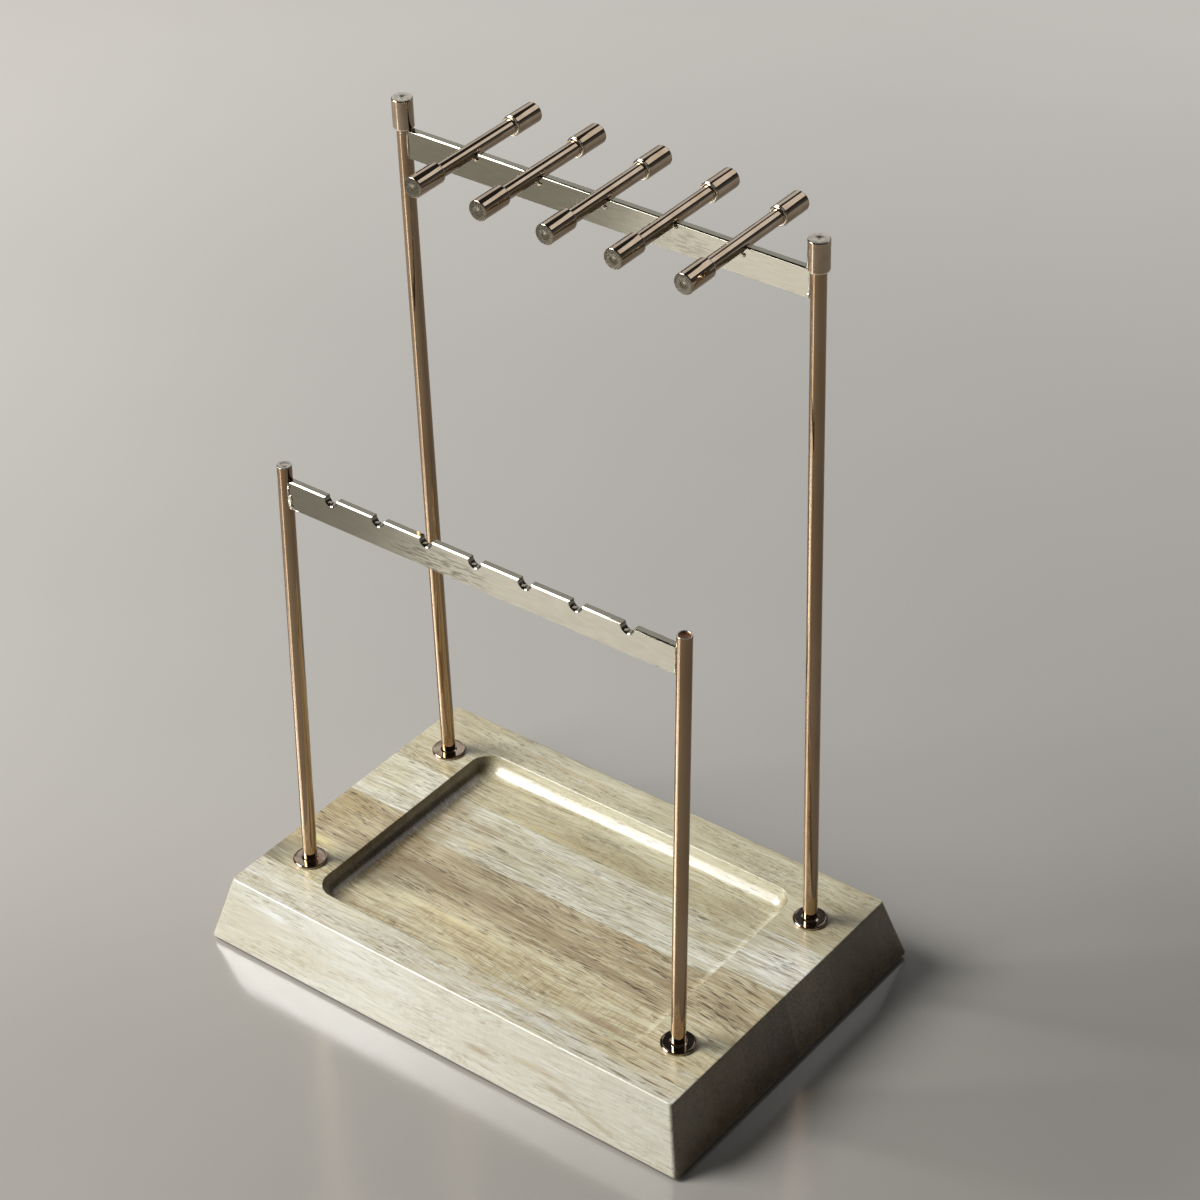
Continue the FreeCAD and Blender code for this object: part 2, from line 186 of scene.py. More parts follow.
# Pitch in mm along, across and through the grain, and the span of the noise that shows. Real pores
# are 0.1-0.2 mm wide: they are drawn twice as wide, so that they show.
woodLayers = {
    "patches": {"pitch": (34, 9, 10), "detail": 2.0, "rough": 0.5, "span": (0.34, 0.60)},
    "thickets": {"pitch": (19, 4.5, 5), "detail": 2.0, "rough": 0.5, "span": (0.38, 0.60)},
    "clouds": {"pitch": (85, 8, 9), "detail": 3.0, "rough": 0.55, "span": (0.36, 0.68)},
    "bands": {"pitch": (70, 2.6, 3.2), "detail": 3.0, "rough": 0.6, "span": (0.46, 0.72)},
    "paleBands": {"pitch": (55, 2.1, 2.6), "detail": 3.0, "rough": 0.6, "span": (0.50, 0.72),
                  "shift": 40},
    "streaks": {"pitch": (24, 1.1, 1.4), "detail": 3.0, "rough": 0.62, "span": (0.46, 0.70),
                "within": "patches"},
    "paleStreaks": {"pitch": (20, 0.9, 1.2), "detail": 3.0, "rough": 0.6, "span": (0.50, 0.72),
                    "shift": 90},
    "fibres": {"pitch": (9, 0.5, 0.65), "detail": 3.0, "rough": 0.62, "span": (0.46, 0.70)},
    "pores": {"pitch": (4.8, 0.36, 0.45), "detail": 1.0, "rough": 0.4, "span": (0.57, 0.65),
              "within": "thickets"},
    "mottle": {"pitch": (1.7, 1.0, 1.0), "detail": 3.0, "rough": 0.6, "span": (0.52, 0.72),
               "within": "patches"},
    "ripple": {"pitch": (0.8, 5.5, 5.5), "detail": 2.0, "rough": 0.5, "span": (0.45, 0.68),
               "within": "patches"},
}

# each stave's colour, and the tint and strength of each layer over it
staves = {
    "stave_front": {
        "slot": "wood_front", "shift": (13.0, 40.0, 6.0), "turn": 0.8, "base": "#CDCCBE",
        "tints": {
            "clouds": ("#C7BE9F", 0.75), "bands": ("#AC9B72", 0.42), "paleBands": ("#E6E7DF", 0.55),
            "streaks": ("#9D8A61", 0.58), "paleStreaks": ("#E4E7E3", 0.55),
            "fibres": ("#96845A", 0.60), "pores": ("#786744", 0.80), "mottle": ("#9A8861", 0.15),
            "ripple": ("#9B885F", 0.24)},
    },
    "stave_mid_front": {
        "slot": "wood_mid_front", "shift": (-31.0, 12.0, 22.0), "turn": -0.8, "base": "#D3CDAB",
        "tints": {
            "clouds": ("#BFAF85", 0.80), "bands": ("#9D8A64", 0.46), "paleBands": ("#E4E2CB", 0.50),
            "streaks": ("#8E7950", 0.69), "paleStreaks": ("#EAE9D6", 0.48),
            "fibres": ("#876F46", 0.65), "pores": ("#685331", 0.81), "mottle": ("#938159", 0.19),
            "ripple": ("#968359", 0.46)},
    },
    "stave_middle": {
        "slot": "wood_middle", "shift": (64.0, -9.0, 3.0), "turn": -2.6, "base": "#C6BA96",
        "tints": {
            "clouds": ("#A99670", 0.85), "bands": ("#877452", 0.55), "paleBands": ("#DBD4B9", 0.50),
            "streaks": ("#786442", 0.78), "paleStreaks": ("#DFD8BD", 0.48),
            "fibres": ("#715B38", 0.72), "pores": ("#4E3C22", 0.98), "mottle": ("#88744D", 0.19),
            "ripple": ("#927E55", 0.14)},
    },
    "stave_mid_rear": {
        "slot": "wood_mid_rear", "shift": (-120.0, 33.0, -14.0), "turn": 1.4, "base": "#DAD8C3",
        "tints": {
            "clouds": ("#C4BB97", 0.70), "bands": ("#A3936A", 0.46), "paleBands": ("#EEEFE6", 0.60),
            "streaks": ("#908058", 0.62), "paleStreaks": ("#F4F7F0", 0.60),
            "fibres": ("#8C7952", 0.58), "pores": ("#63553A", 0.78), "mottle": ("#93835E", 0.15),
            "ripple": ("#968458", 0.11)},
    },
    "stave_rear": {
        "slot": "wood_rear", "shift": (210.0, -52.0, 31.0), "turn": 0.4, "base": "#D2CCAD",
        "tints": {
            "clouds": ("#B1A47C", 0.80), "bands": ("#978764", 0.33), "paleBands": ("#DFDCC6", 0.40),
            "streaks": ("#8E7D59", 0.44), "paleStreaks": ("#E3E2D1", 0.42),
            "fibres": ("#87744E", 0.49), "pores": ("#5D4E34", 0.65), "mottle": ("#746852", 0.62),
            "ripple": ("#958359", 0.08)},
    },
}

# single marks in the wood:
# centre and half sizes (mm), tilt and turn (degrees about Y and Z), colour, strength
staves["stave_front"]["marks"] = [
    ((18.0, -66, 10.2), (7.5, 40, 1.5), (0, 0), "#937F56", 0.90),
    ((40.0, -65, 14.0), (15.0, 40, 1.5), (0, 0), "#AE9B72", 0.85),
    ((50.5, -66, 10.0), (10.0, 40, 1.8), (8, 0), "#8C764B", 0.95),
    ((66.0, -66, 6.4), (13.0, 40, 1.2), (13, 0), "#A08C62", 0.90),
    ((88.0, -66, 9.6), (6.5, 40, 2.0), (0, 0), "#A3967A", 0.30),
    ((-78.0, -66, 9.0), (34.0, 40, 13.0), (0, 0), "#BAAE8E", 0.55),
    ((-74.0, -60, 20.0), (10.0, 9, 2.0), (0, 0), "#E8EBE9", 0.6),
    ((20.0, -52, 30.0), (30.0, 1.0, 20), (0, 1), "#B8A16A", 0.45),
    ((70.0, -51, 30.0), (36.0, 8.0, 16), (0, -2), "#CBBB90", 0.60),
    ((-66.0, -54, 30.0), (24.0, 4.0, 20), (0, 1), "#E1E1D7", 0.5),
    ((-62.0, -50, 30.0), (34.0, 7.0, 16), (0, 1), "#D9D0AE", 0.5),
    # painted shade: a broad darker tone over the front face, toning down the extra light the lamps
    # put on that face
    ((52.0, -66, 10.0), (60.0, 40, 14.0), (0, 0), "#C0B9A5", 0.45),
]
staves["stave_mid_front"]["marks"] = [
    ((-87.0, -37.5, 25.5), (8.5, 9.5, 9), (0, 0), "#898775", 0.75),
    ((-94.0, -40.0, 25.5), (9.5, 9.0, 8), (0, 0), "#6E6A55", 0.95),
    ((-88.0, -26.0, 22), (14.0, 9.0, 60), (0, 0), "#A8945F", 0.60),
    ((-83.0, -26.8, 22), (6.0, 1.6, 60), (0, 0), "#E0D498", 0.7),
    ((-25.0, -27.2, 22), (24.0, 1.5, 60), (0, -1), "#DDCF9D", 0.55),
    ((-42.0, -35.5, 22), (17.0, 1.9, 60), (0, -2), "#A5936D", 0.6),
    ((46.0, -38.4, 22), (18.0, 1.6, 60), (0, 0), "#9A8064", 0.6),
    ((-30.0, -26.0, 22), (2.6, 0.25, 60), (0, 0), "#6E542D", 0.8),
    ((-12.0, -26.5, 22), (3.0, 0.28, 60), (0, 0), "#6E542D", 0.8),
    ((40.0, -31.0, 22), (22.0, 3.0, 60), (0, 0), "#DBD7B7", 0.5),
]
staves["stave_middle"]["marks"] = [
    ((-38.0, -12.5, 22), (34.0, 3.2, 60), (0, -3), "#988564", 0.70),
    ((30.0, -17.0, 22), (40.0, 2.7, 60), (0, -4), "#978563", 0.65),
    ((2.0, -13.0, 22), (24.0, 0.8, 60), (0, -1), "#816C47", 0.75),
    ((36.0, -1.0, 22), (7.0, 0.9, 60), (0, 0), "#AA8857", 0.6),
    ((46.0, -18.0, 22), (5.0, 0.35, 60), (0, -4), "#56432D", 0.85),
    ((54.0, -20.5, 22), (6.0, 0.35, 60), (0, -4), "#56432D", 0.8),
    ((60.0, -22.0, 22), (4.0, 0.3, 60), (0, -4), "#56432D", 0.8),
    ((9.0, -1.5, 22), (2.2, 0.7, 60), (0, 0), "#7A6643", 0.7),
    ((-40.0, -3.0, 22), (18.0, 1.2, 60), (0, -3), "#9F8C68", 0.5),
    ((84.0, -16.0, 22), (9.0, 5.0, 60), (0, -8), "#90805D", 0.5),
    ((-88.0, -8.0, 22), (14.0, 13.0, 60), (0, 0), "#A8945F", 0.70),
]
staves["stave_mid_rear"]["marks"] = [
    ((-45.0, 16.0, 22), (11.0, 3.6, 60), (0, 4), "#A79570", 0.75),
    ((-33.5, 11.6, 22), (4.2, 0.8, 60), (0, -4), "#736951", 0.85),
    ((-42.0, 8.0, 22), (5.0, 2.2, 60), (0, 0), "#D4C497", 0.6),
    ((-25.0, 6.4, 22), (7.0, 0.4, 60), (0, 1), "#7B7052", 0.75),
    ((-15.0, 1.9, 22), (6.5, 0.4, 60), (0, 6), "#695E46", 0.8),
    ((-36.0, 2.2, 22), (3.0, 0.6, 60), (0, 8), "#756A52", 0.7),
    ((15.0, 0.6, 22), (4.0, 0.35, 60), (0, 0), "#695E46", 0.8),
    ((11.0, 21.6, 22), (2.5, 0.5, 60), (0, 0), "#877A57", 0.7),
    ((50.0, 16.0, 22), (12.0, 0.9, 60), (0, 0), "#B9A679", 0.6),
    ((60.0, 2.0, 22), (6.0, 0.35, 60), (0, 0), "#756A52", 0.7),
    ((-2.0, 22.0, 22), (32.0, 2.4, 60), (0, 0), "#EAEADE", 0.5),
    ((86.0, 12.0, 22), (15.0, 11.0, 60), (0, 0), "#FAFAF4", 0.75),
    ((-88.0, 15.0, 22), (14.0, 12.0, 60), (0, 0), "#C8BF9A", 0.6),
]
staves["stave_rear"]["marks"] = [
    ((-7.0, 36.8, 22), (13.0, 2.6, 60), (0, 0), "#87836F", 0.60),
    ((53.0, 34.5, 22), (10.0, 4.4, 60), (0, 0), "#9E8C6A", 0.55),
    ((13.0, 31.0, 22), (3.2, 0.5, 60), (0, 0), "#80704E", 0.6),
    ((-28.0, 33.8, 22), (2.2, 0.6, 60), (0, 0), "#887A59", 0.6),
    ((-20.0, 28.0, 22), (36.0, 1.4, 60), (0, 0), "#C9BA8B", 0.5),
    ((-40.0, 54.0, 22), (30.0, 1.5, 60), (0, 1), "#BAA47A", 0.5),
    # painted shade: the next two marks darken the back corners where the light falls off, at the
    # left also where the rear-left post's shadow lies
    ((88.0, 44.0, 22), (14.0, 20.0, 60), (0, 0), "#9A8B66", 0.65),
    ((-84.0, 54.0, 22), (18.0, 12.0, 60), (0, 0), "#A39470", 0.50),
    ((-42.0, 55.0, 24), (32.0, 9.0, 8), (0, 0), "#DCD6B8", 0.45),
    ((0.0, 31.0, 17), (75.0, 9.0, 6), (0, 0), "#A89A6C", 0.8),
]

# painted shade: a dark band down the tray's left wall and a softer one on the floor beside its
# cove, where the wall's shadow falls
for look in staves.values():
    look["marks"] += [
        ((-64.0, 0.0, 20.0), (6.0, 46.0, 5.0), (0, 0), "#75603C", 0.7),
        ((-58.5, 0.0, 18.5), (8.0, 46.0, 3.5), (0, 0), "#8A7548", 0.55),
    ]

# thickets of long dark pores at the right-hand end: x, y, half length, turn
darkPores = {
    "stave_middle": {
        "z": 22, "half": (0.4, 60), "colour": "#503D21", "strength": 0.9,
        "pores": [
            (77, -1.5, 4.0, -5), (84, -3.5, 5.5, -8), (76, -5.5, 3.5, -9), (87, -7.0, 4.0, -10),
            (80, -8.5, 4.5, -9), (75, -11.0, 3.5, -10), (86, -11.5, 4.5, -11),
            (80, -13.5, 3.5, -10), (88, -15.5, 3.0, -12), (76, -17.0, 4.0, -9),
            (83, -18.5, 4.0, -10), (89, -20.5, 2.5, -10), (78, -21.5, 3.5, -8)],
    },
    "stave_front": {
        "z": 30, "half": (0.5, 12), "colour": "#6E5B38", "strength": 0.95,
        "pores": [
            (40, -47.5, 7, 1), (52, -49.0, 6, -1), (66, -48.0, 7, -2), (79, -49.5, 5, -3),
            (60, -51.5, 8, 0), (73, -53.0, 6, -2), (86, -52.5, 4, -3), (50, -55.0, 8, 1),
            (66, -56.0, 6, -1), (81, -56.5, 6, -2), (36, -52.0, 5, 1), (88, -59.0, 4, -2),
            (72, -59.5, 6, -1), (56, -59.0, 6, 0)],
    },
}
for staveName, dark in darkPores.items():
    staves[staveName]["marks"] += [
        ((x, y, dark["z"]), (half, *dark["half"]), (0, turn), dark["colour"], dark["strength"])
        for x, y, half, turn in dark["pores"]]


def addMark(tree, colour, inMm, fray, mark):
    # a soft ellipse that the fibres fray
    centre, half, (tilt, turn), tint, strength = mark
    near = addNode(tree, "Mapping", {
        "Vector": inMm, "Location": centre, "Scale": half,
        "Rotation": (0, math.radians(tilt), math.radians(turn))}, vector_type="TEXTURE").outputs[0]
    reach = addNode(tree, "VectorMath", {0: near}, operation="LENGTH").outputs["Value"]
    frayed = addNode(tree, "Math", {0: fray, 1: woodLook["fray"], 2: reach},
                     operation="MULTIPLY_ADD").outputs[0]
    amount = addNode(tree, "MapRange", {
        "Value": frayed, "From Min": woodLook["markEdge"], "From Max": 1.0, "To Max": strength},
        interpolation_type="SMOOTHSTEP").outputs[0]
    return addNode(tree, "Mix", {0: amount, 6: colour, 7: linear(tint)},
                   data_type="RGBA").outputs[2]


def lacqueredWood(name, look):
    material, tree = newMaterial(name)
    place = addNode(tree, "TexCoord").outputs["Object"]
    inMm = addNode(tree, "VectorMath", {0: place, 1: [perMetre] * 3},
                   operation="MULTIPLY").outputs[0]
    aligned = addNode(tree, "Mapping", {
        "Vector": inMm, "Location": look["shift"],
        "Rotation": (*woodLook["rise"], math.radians(-look["turn"]))}).outputs[0]

    # the grain wanders a little sideways along its length
    slow = addNode(tree, "VectorMath", {0: aligned, 1: [1 / p for p in woodLook["swayPitch"]]},
                   operation="MULTIPLY").outputs[0]
    drift = addNode(tree, "TexNoise", {
        "Vector": slow, "Scale": 1.0, "Detail": 2.0}).outputs["Color"]
    centred = addNode(tree, "VectorMath", {0: drift, 1: (0.5, 0.5, 0.5)},
                      operation="SUBTRACT").outputs[0]
    across, through = woodLook["sway"]
    sway = addNode(tree, "VectorMath", {0: centred, 1: (0, 2 * across, 2 * through)},
                   operation="MULTIPLY").outputs[0]
    grain = addNode(tree, "VectorMath", {0: aligned, 1: sway}, operation="ADD").outputs[0]

    facing = addNode(tree, "SeparateXYZ", {
        0: addNode(tree, "NewGeometry").outputs["True Normal"]}).outputs
    endways, sideways = [
        addNode(tree, "Math", {0: facing[axis]}, operation="ABSOLUTE").outputs[0]
        for axis in (0, 1)]
    low, high = woodLook["faceTilt"]
    figure = addNode(tree, "MapRange", {
        "Value": sideways, "From Min": low, "From Max": high,
        "To Min": 1.0, "To Max": woodLook["calm"]}).outputs[0]

    # tone upon tone, from broad clouds down to single pores
    # broad marks lie under the streaks, fine ones on top
    colour, noises, amounts = linear(look["base"]), {}, {}
    broadMarks = [mark for mark in look["marks"] if min(mark[1][:2]) > woodLook["broadMark"]]
    fineMarks = [mark for mark in look["marks"] if min(mark[1][:2]) <= woodLook["broadMark"]]
    for layerName, layer in woodLayers.items():
        scaled = addNode(tree, "VectorMath", {
            0: grain, 1: [1 / p for p in layer["pitch"]], 2: [layer.get("shift", 0)] * 3},
            operation="MULTIPLY_ADD").outputs[0]
        noise = addNode(tree, "TexNoise", {
            "Vector": scaled, "Scale": 1.0, "Detail": layer["detail"],
            "Roughness": layer["rough"]}).outputs["Fac"]
        noises[layerName] = noise
        if layerName == "streaks":
            for mark in broadMarks:
                colour = addMark(tree, colour, inMm, noise, mark)
        tint, strength = look["tints"].get(layerName, (None, 1.0))
        low, high = layer["span"]
        amount = addNode(tree, "MapRange", {
            "Value": noise, "From Min": low, "From Max": high, "To Max": strength},
            interpolation_type="SMOOTHSTEP").outputs[0]
        if "within" in layer:
            amount = addNode(tree, "Math", {0: amount, 1: amounts[layer["within"]]},
                             operation="MULTIPLY").outputs[0]
        amounts[layerName] = amount
        if tint:
            amount = addNode(tree, "Math", {0: amount, 1: figure}, operation="MULTIPLY").outputs[0]
            colour = addNode(tree, "Mix", {0: amount, 6: colour, 7: linear(tint)},
                             data_type="RGBA").outputs[2]
    for mark in fineMarks:
        colour = addMark(tree, colour, inMm, noises["streaks"], mark)

    # sawn ends drink more lacquer and stay darker
    low, high = woodLook["endTilt"]
    endGrain = addNode(tree, "MapRange", {"Value": endways, "From Min": low, "From Max": high},
                       interpolation_type="SMOOTHSTEP").outputs[0]
    colour = addNode(tree, "Mix", {0: endGrain, 6: colour, 7: linear(woodLook["endGrain"])},
                     data_type="RGBA", blend_type="MULTIPLY").outputs[2]

    low, high = woodLook["roughPores"]
    smoothest, roughest = woodLook["roughness"]
    roughness = addNode(tree, "MapRange", {
        "Value": noises["pores"], "From Min": low, "From Max": high,
        "To Min": smoothest, "To Max": roughest}).outputs[0]
    sunk = addNode(tree, "Math", {0: amounts["pores"], 1: -1.0}, operation="MULTIPLY").outputs[0]
    relief = addNode(tree, "Math", {0: noises["fibres"], 1: woodLook["fibreRelief"], 2: sunk},
                     operation="MULTIPLY_ADD").outputs[0]
    bump = addNode(tree, "Bump", {
        "Strength": woodLook["bump"], "Distance": woodLook["relief"], "Height": relief}).outputs[0]
    shader = addNode(tree, "BsdfPrincipled", {
        "Base Color": colour, "Roughness": roughness, "Normal": bump, "IOR": woodLook["ior"],
        "Coat Weight": woodLook["coat"], "Coat Roughness": woodLook["coatRoughness"],
        "Coat IOR": woodLook["coatIor"]})
    addNode(tree, "OutputMaterial", {"Surface": shader.outputs[0]})
    return material


for staveName, look in staves.items():
    dressNode(staveName, lacqueredWood(look["slot"] + "_satin_lacquer", look))
print("staves dressed")


# Steel under a thin champagne-rose gold plating, polished to a mirror. Buffing leaves faint
# streaks along the bars, and the wheel leaves a slight waviness in the reflections.
# Pitches and heights are mm. What a finish doesn't say, it takes from plainFinish.
plainFinish = {
    "streakPitch": (0.3, 0.3, 0.3), "streak": 0.0,
    "smudgeSpan": (0.4, 0.7), "streakSpan": (0.35, 0.7), "crazeSpan": (0.47, 0.60),
    "patchEdge": (1.2, 0.4),
}
metalLook = {
    "tube": {
        "colour": "#AD957A", "worn": "#A0866A", "roughness": (0.02, 0.05),
        "wave": 0.0012, "wavePitch": (8, 8, 14), "smudgePitch": (25, 25, 45)},
    "rod": {
        "colour": "#B6A591", "worn": "#A8937C", "roughness": (0.02, 0.05),
        "wave": 0.0015, "wavePitch": (6, 9, 6), "smudgePitch": (7, 7, 7)},
    "washer": {
        "colour": "#B5A594", "worn": "#8F7A66", "roughness": (0.05, 0.10),
        "wave": 0.006, "wavePitch": (3, 3, 3), "smudgePitch": (4, 4, 4)},
    "bar": {
        "colour": "#8D897C", "worn": "#858073", "roughness": (0.03, 0.08),
        "wave": 0.005, "wavePitch": (9, 3, 3), "smudgePitch": (6.0, 0.6, 0.6),
        "streak": 0.0012, "streakPitch": (4.0, 0.4, 0.4),
        # painted reflection: crackled darker patches on the left of the front bar and on the rear
        # bar, standing in for dark reflections:
        # centre, half sizes, strength
        "paintedDarkReflection": "#4E4A3F", "crazePitch": (5.0, 0.7, 0.7),
        "darkReflectionPatches": [((-14.0, -33.5, 174.0), (22.0, 10.0, 5.5), 0.75),
                   ((31.0, 33.0, 272.0), (13.0, 10.0, 5.5), 0.35)]},
    "faced": {
        "colour": "#6B665A", "worn": "#48433A", "roughness": (0.18, 0.34),
        "wave": 0.006, "wavePitch": (0.45, 0.45, 0.45), "smudgePitch": (0.5, 0.5, 0.5),
        "streak": 0.003, "streakPitch": (0.2, 0.2, 0.2)},
    "cut": {
        "colour": "#D4CDC0", "worn": "#B3A898", "roughness": (0.22, 0.38),
        "wave": 0.006, "wavePitch": (0.6, 0.6, 0.6), "smudgePitch": (1.2, 1.2, 1.2),
        "streak": 0.003, "streakPitch": (0.2, 0.2, 0.2)},
    "rough": {
        "colour": "#8A6148", "worn": "#24160D", "roughness": (0.25, 0.55),
        "wave": 0.04, "wavePitch": (0.5, 0.5, 0.5), "smudgePitch": (0.45, 0.45, 0.45),
        "streak": 0.03, "streakPitch": (0.25, 0.25, 0.25)},
    # braze: a pale copy of the plating, a painted highlight on the cap collars and the joint beads
    "braze": {
        "colour": "#EBE2D2", "worn": "#D0C0AA", "roughness": (0.06, 0.16),
        "wave": 0.02, "wavePitch": (0.8, 0.8, 0.8), "smudgePitch": (1.5, 1.5, 1.5),
        "streak": 0.002},
}

# Zinc-plated socket screws, seen only from under the board: dull grey with a fine turned haze.
screwLook = {
    "colour": "#A9ABAC", "worn": "#83868A", "roughness": (0.28, 0.42),
    "wave": 0.004, "wavePitch": (1, 1, 1), "smudgePitch": (3, 3, 3),
    "streak": 0.003, "streakPitch": (0.15, 0.15, 2.0)}


def platedMetal(name, finish):
    look = {**plainFinish, **finish}
    material, tree = newMaterial(name)
    place = addNode(tree, "TexCoord").outputs["Object"]
    noises = {}
    for pattern, detail in (("wave", 1.0), ("streak", 3.0), ("smudge", 3.0), ("craze", 2.0)):
        if pattern + "Pitch" in look:
            scaled = addNode(tree, "VectorMath", {
                0: place, 1: [perMetre / p for p in look[pattern + "Pitch"]]},
                operation="MULTIPLY").outputs[0]
            noises[pattern] = addNode(tree, "TexNoise", {
                "Vector": scaled, "Scale": 1.0, "Detail": detail}).outputs["Fac"]

    low, high = look["smudgeSpan"]
    worn = addNode(tree, "MapRange", {
        "Value": noises["smudge"], "From Min": low, "From Max": high}).outputs[0]
    colour = addNode(tree, "Mix", {
        0: worn, 6: linear(look["colour"]), 7: linear(look["worn"])}, data_type="RGBA").outputs[2]
    # painted reflection: darker crackled patches are blended over the plating colour
    for centre, half, strength in look.get("darkReflectionPatches", []):
        near = addNode(tree, "Mapping", {
            "Vector": place, "Location": [c * mm for c in centre], "Scale": [h * mm for h in half]},
            vector_type="TEXTURE").outputs[0]
        reach = addNode(tree, "VectorMath", {0: near}, operation="LENGTH").outputs["Value"]
        outer, inner = look["patchEdge"]
        within = addNode(tree, "MapRange", {
            "Value": reach, "From Min": outer, "From Max": inner, "To Max": strength},
            interpolation_type="SMOOTHSTEP").outputs[0]
        low, high = look["crazeSpan"]
        cracks = addNode(tree, "MapRange", {
            "Value": noises["craze"], "From Min": low, "From Max": high},
            interpolation_type="SMOOTHSTEP").outputs[0]
        shown = addNode(tree, "Math", {0: cracks, 1: within}, operation="MULTIPLY").outputs[0]
        colour = addNode(tree, "Mix", {0: shown, 6: colour, 7: linear(look["paintedDarkReflection"])},
                         data_type="RGBA").outputs[2]

    low, high = look["streakSpan"]
    smoothest, roughest = look["roughness"]
    roughness = addNode(tree, "MapRange", {
        "Value": noises["streak"], "From Min": low, "From Max": high,
        "To Min": smoothest, "To Max": roughest}).outputs[0]
    swell = addNode(tree, "Bump", {
        "Strength": 1.0, "Distance": look["wave"] * mm, "Height": noises["wave"]}).outputs[0]
    lines = addNode(tree, "Bump", {
        "Strength": 1.0, "Distance": look["streak"] * mm, "Height": noises["streak"],
        "Normal": swell}).outputs[0]
    shader = addNode(tree, "BsdfPrincipled", {
        "Base Color": colour, "Metallic": 1.0, "Roughness": roughness, "Normal": lines})
    addNode(tree, "OutputMaterial", {"Surface": shader.outputs[0]})
    return material


metal = {key: platedMetal("rose_gold_plated_steel_" + key, look) for key, look in metalLook.items()}
zinc = platedMetal("zinc_plated_steel", screwLook)
for frameName in frames:
    for sideName in sides:
        dressNode(f"screw_{frameName}_{sideName}", zinc)
print("metals made")


post = {
    "radius": 2.5, "ease": 0.1, "socket": 4.0, "frontHeight": 160.0, "rearHeight": 260.5,
    # radius and drop, inwards: a clean sawn end, and a bright burr round a rough hollow
    "tops": {
        "left": [(1.5, 0), (1.42, 0.04), (0.9, 0.04), (0.82, 0), (0.05, 0.05)],
        "right": [(2.12, 0), (2.0, 0.12), (1.8, 0.34), (0.8, 0.42), (0.05, 0.40)]},
    "topDepth": 0.45, "hollow": 2.05,
}
flange = {
    "radius": 6.0, "thickness": 1.0, "chamfer": 0.25, "foot": 0.1, "bevel": 0.08,
    "land": 0.75, "dish": (0.85, 0.06),      # in from the rim: a flat land, then a shallow dish
    "fillet": [(0.5, -0.06), (0.12, 0.16), (-0.2, 0.22)],    # out from the post, up from the top
}


def makePosts():
    radius, ease = post["radius"], post["ease"]
    for frameName in frames:
        height = post[frameName + "Height"]
        for sideName, side in sides.items():
            top = [(out, height - drop) for out, drop in post["tops"][sideName]]
            piece = turned(f"turned_post_{frameName}_{sideName}", [
                (radius, -post["socket"]), (radius, 0.0), (radius, height / 2),
                (radius, height - ease), (radius - ease, height)] + top)
            dress(piece, metal["tube"], metal["cut"], metal["rough"])
            faceEnds(piece, height - post["topDepth"], 1, tilt=0.6)
            if sideName == "right":
                faceEnds(piece, height - post["topDepth"], 2, tilt=0.3, inside=post["hollow"])
            smooth(piece)
            settle(piece, frameMatrix(frameName, x=side * board["postX"]))
            standFor(piece, f"post_{frameName}_{sideName}")


def makeFlanges():
    radius, top, chamfer = flange["radius"], flange["thickness"], flange["chamfer"]
    foot, (dishIn, dishDeep) = flange["foot"], flange["dish"]
    washer = turned("washer", [
        (radius - foot, 0.0), (radius, foot), (radius, top - chamfer), (radius - chamfer, top),
        (radius - flange["land"], top), (radius - dishIn, top - dishDeep)]
        + [(post["radius"] + out, top + up) for out, up in flange["fillet"]], around=96)
    applyModifier(washer, "BEVEL", width=flange["bevel"] * mm, segments=3, limit_method="ANGLE",
                  angle_limit=math.radians(25))
    dress(washer, metal["washer"])
    smooth(washer)
    for frameName in frames:
        for sideName, side in sides.items():
            piece = copyOf(washer, f"turned_flange_{frameName}_{sideName}")
            settle(piece, shifted(side * board["postX"], frames[frameName]["depth"], board["top"]))
            standFor(piece, f"flange_{frameName}_{sideName}")
    bpy.data.objects.remove(washer)


makePosts()
makeFlanges()
print("posts and flanges made")


bar = {
    "height": 10.0, "thickness": 2.5, "edge": 0.16, "flare": 0.3,
    "arrises": {"top": (0.46, 0.34), "low": (0.3, 0.3)},      # ground off: back, and down or up
    "notchedTop": 155.3, "notchRadius": 2.4, "notchDepth": 2.6, "notches": 7, "outerNotch": 58.5,
    "nick": (70.2, 144.95, 0.6),                              # x, z, radius
    "rodTop": 252.0, "rods": 5, "outerRod": 51.0,
    "cutterLength": 30.0, "cutterSides": 72,
}


def cutBy(piece, cutter):
    applyModifier(piece, "BOOLEAN", object=cutter, operation="DIFFERENCE", solver="EXACT")
    bpy.data.objects.remove(cutter)


def carve(piece, x, z, radius, axis):
    # a round cutter through the bar, along Y for a notch or along Z for the hollow at a post
    bpy.ops.mesh.primitive_cylinder_add(
        vertices=bar["cutterSides"], radius=radius * mm, depth=bar["cutterLength"] * mm,
        location=(x * mm, 0, z * mm), rotation=(math.pi / 2, 0, 0) if axis == "Y" else (0, 0, 0))
    cutBy(piece, bpy.context.object)


def flare(piece, x, z, radius):
    # the notch's edge on the front face is eased with a countersink
    reach, face = bar["flare"], -bar["thickness"] / 2
    bpy.ops.mesh.primitive_cone_add(
        vertices=bar["cutterSides"], radius1=radius * mm, radius2=(radius + 2 * reach) * mm,
        depth=2 * reach * mm, location=(x * mm, face * mm, z * mm), rotation=(math.pi / 2, 0, 0))
    cutBy(piece, bpy.context.object)


